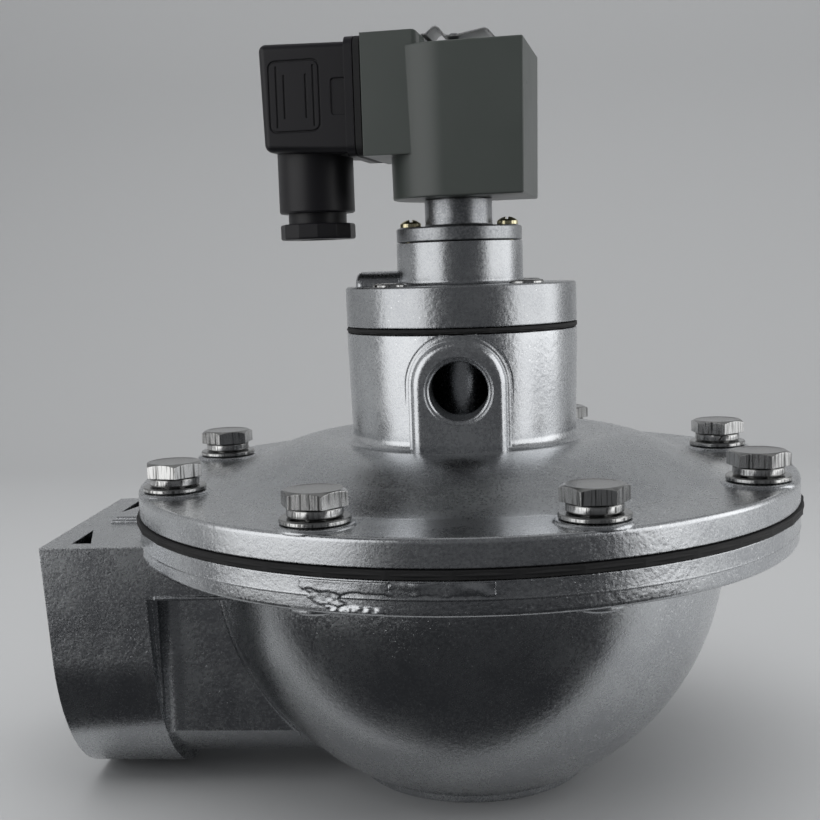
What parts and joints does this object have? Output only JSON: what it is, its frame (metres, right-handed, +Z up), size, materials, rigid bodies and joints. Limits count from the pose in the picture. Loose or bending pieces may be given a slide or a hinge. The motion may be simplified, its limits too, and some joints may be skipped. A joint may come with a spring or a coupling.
{
  "type": "dust collector pulse valve",
  "caption": "Right-angle diaphragm pulse valve: threaded side inlet, bowl body over the outlet, bolted domed cover, solenoid pilot and square plug connector.",
  "frame": {"origin": "middle of the length and width, on the outlet face", "axes": "+Z up along the valve axis away from the outlet, inlet facing -X, exhaust port facing -Y"},
  "size_m": [0.191, 0.172, 0.1934],
  "materials": {
    "cast_aluminium": "die cast, bright satin skin with flow marks",
    "cover_aluminium": "die cast, fine mottled satin skin",
    "machined_aluminium": "turned, fine circular tool marks",
    "diaphragm_rubber": "matt moulded nitrile",
    "seat_polymer": "moulded seat disc",
    "zinc_steel": "bright zinc plate",
    "yellow_zinc_steel": "yellow passivated zinc plate",
    "spring_steel": "bright spring strip and wire",
    "stainless_steel": "turned magnetic stainless",
    "contact_brass": "plain brass",
    "coil_resin": "matt moulded resin",
    "plug_nylon": "satin glass-filled nylon"
  },
  "bodies": {
    "valve": {"valve_body": "cast_aluminium", "top_cover": "cover_aluminium", "main_diaphragm": "diaphragm_rubber", "main_spring": "spring_steel", "pilot_diaphragm": "diaphragm_rubber", "pilot_spring": "spring_steel", "pilot_lid": "machined_aluminium", "armature_tube": "machined_aluminium", "stem_seal": "diaphragm_rubber", "stem_screw_1": "yellow_zinc_steel", "stem_screw_2": "yellow_zinc_steel", "plunger_spring": "spring_steel", "lid_screw_1": "zinc_steel", "lid_screw_2": "zinc_steel", "lid_screw_3": "zinc_steel", "lid_screw_4": "zinc_steel", "flange_bolt_1": "zinc_steel", "flange_bolt_2": "zinc_steel", "flange_bolt_3": "zinc_steel", "flange_bolt_4": "zinc_steel", "flange_bolt_5": "zinc_steel", "flange_bolt_6": "zinc_steel", "flange_bolt_7": "zinc_steel", "flange_bolt_8": "zinc_steel", "spring_washer_1": "zinc_steel", "spring_washer_2": "zinc_steel", "spring_washer_3": "zinc_steel", "spring_washer_4": "zinc_steel", "spring_washer_5": "zinc_steel", "spring_washer_6": "zinc_steel", "spring_washer_7": "zinc_steel", "spring_washer_8": "zinc_steel", "flat_washer_1": "zinc_steel", "flat_washer_2": "zinc_steel", "flat_washer_3": "zinc_steel", "flat_washer_4": "zinc_steel", "flat_washer_5": "zinc_steel", "flat_washer_6": "zinc_steel", "flat_washer_7": "zinc_steel", "flat_washer_8": "zinc_steel"},
    "main_poppet": {"main_seat_disc": "seat_polymer", "main_support_plate": "zinc_steel", "main_centre_bolt": "zinc_steel", "main_centre_nut": "zinc_steel"},
    "pilot_poppet": {"pilot_support_plate": "zinc_steel", "pilot_rivet": "contact_brass"},
    "plunger": {"plunger": "stainless_steel", "plunger_seal": "diaphragm_rubber"},
    "coil": {"coil": "coil_resin", "coil_clip": "spring_steel", "connector_gasket": "diaphragm_rubber", "connector_housing": "plug_nylon", "contact_carrier": "coil_resin", "connector_screw": "zinc_steel", "contact_blade_1": "contact_brass", "contact_blade_2": "contact_brass", "contact_blade_3": "contact_brass", "gland_nut": "plug_nylon", "gland_grommet": "diaphragm_rubber"}
  },
  "joints": [
    {"name": "main_lift", "type": "slide", "parent": "valve", "child": "main_poppet", "axis": [0, 0, 1], "range_m": [0, 0.006], "stiffness_N_per_m": 600, "deforming": ["main_spring", "main_diaphragm"]},
    {"name": "pilot_lift", "type": "slide", "parent": "valve", "child": "pilot_poppet", "axis": [0, 0, 1], "range_m": [0, 0.0028], "stiffness_N_per_m": 200, "deforming": ["pilot_spring", "pilot_diaphragm"]},
    {"name": "plunger_lift", "type": "slide", "parent": "valve", "child": "plunger", "axis": [0, 0, 1], "range_m": [0, 0.002], "stiffness_N_per_m": 150, "deforming": ["plunger_spring"]},
    {"name": "coil_swivel", "type": "hinge", "parent": "valve", "child": "coil", "pos_m": [0.0095, 0, 0.16875], "axis": [0, 0, 1], "continuous": true}
  ]
}
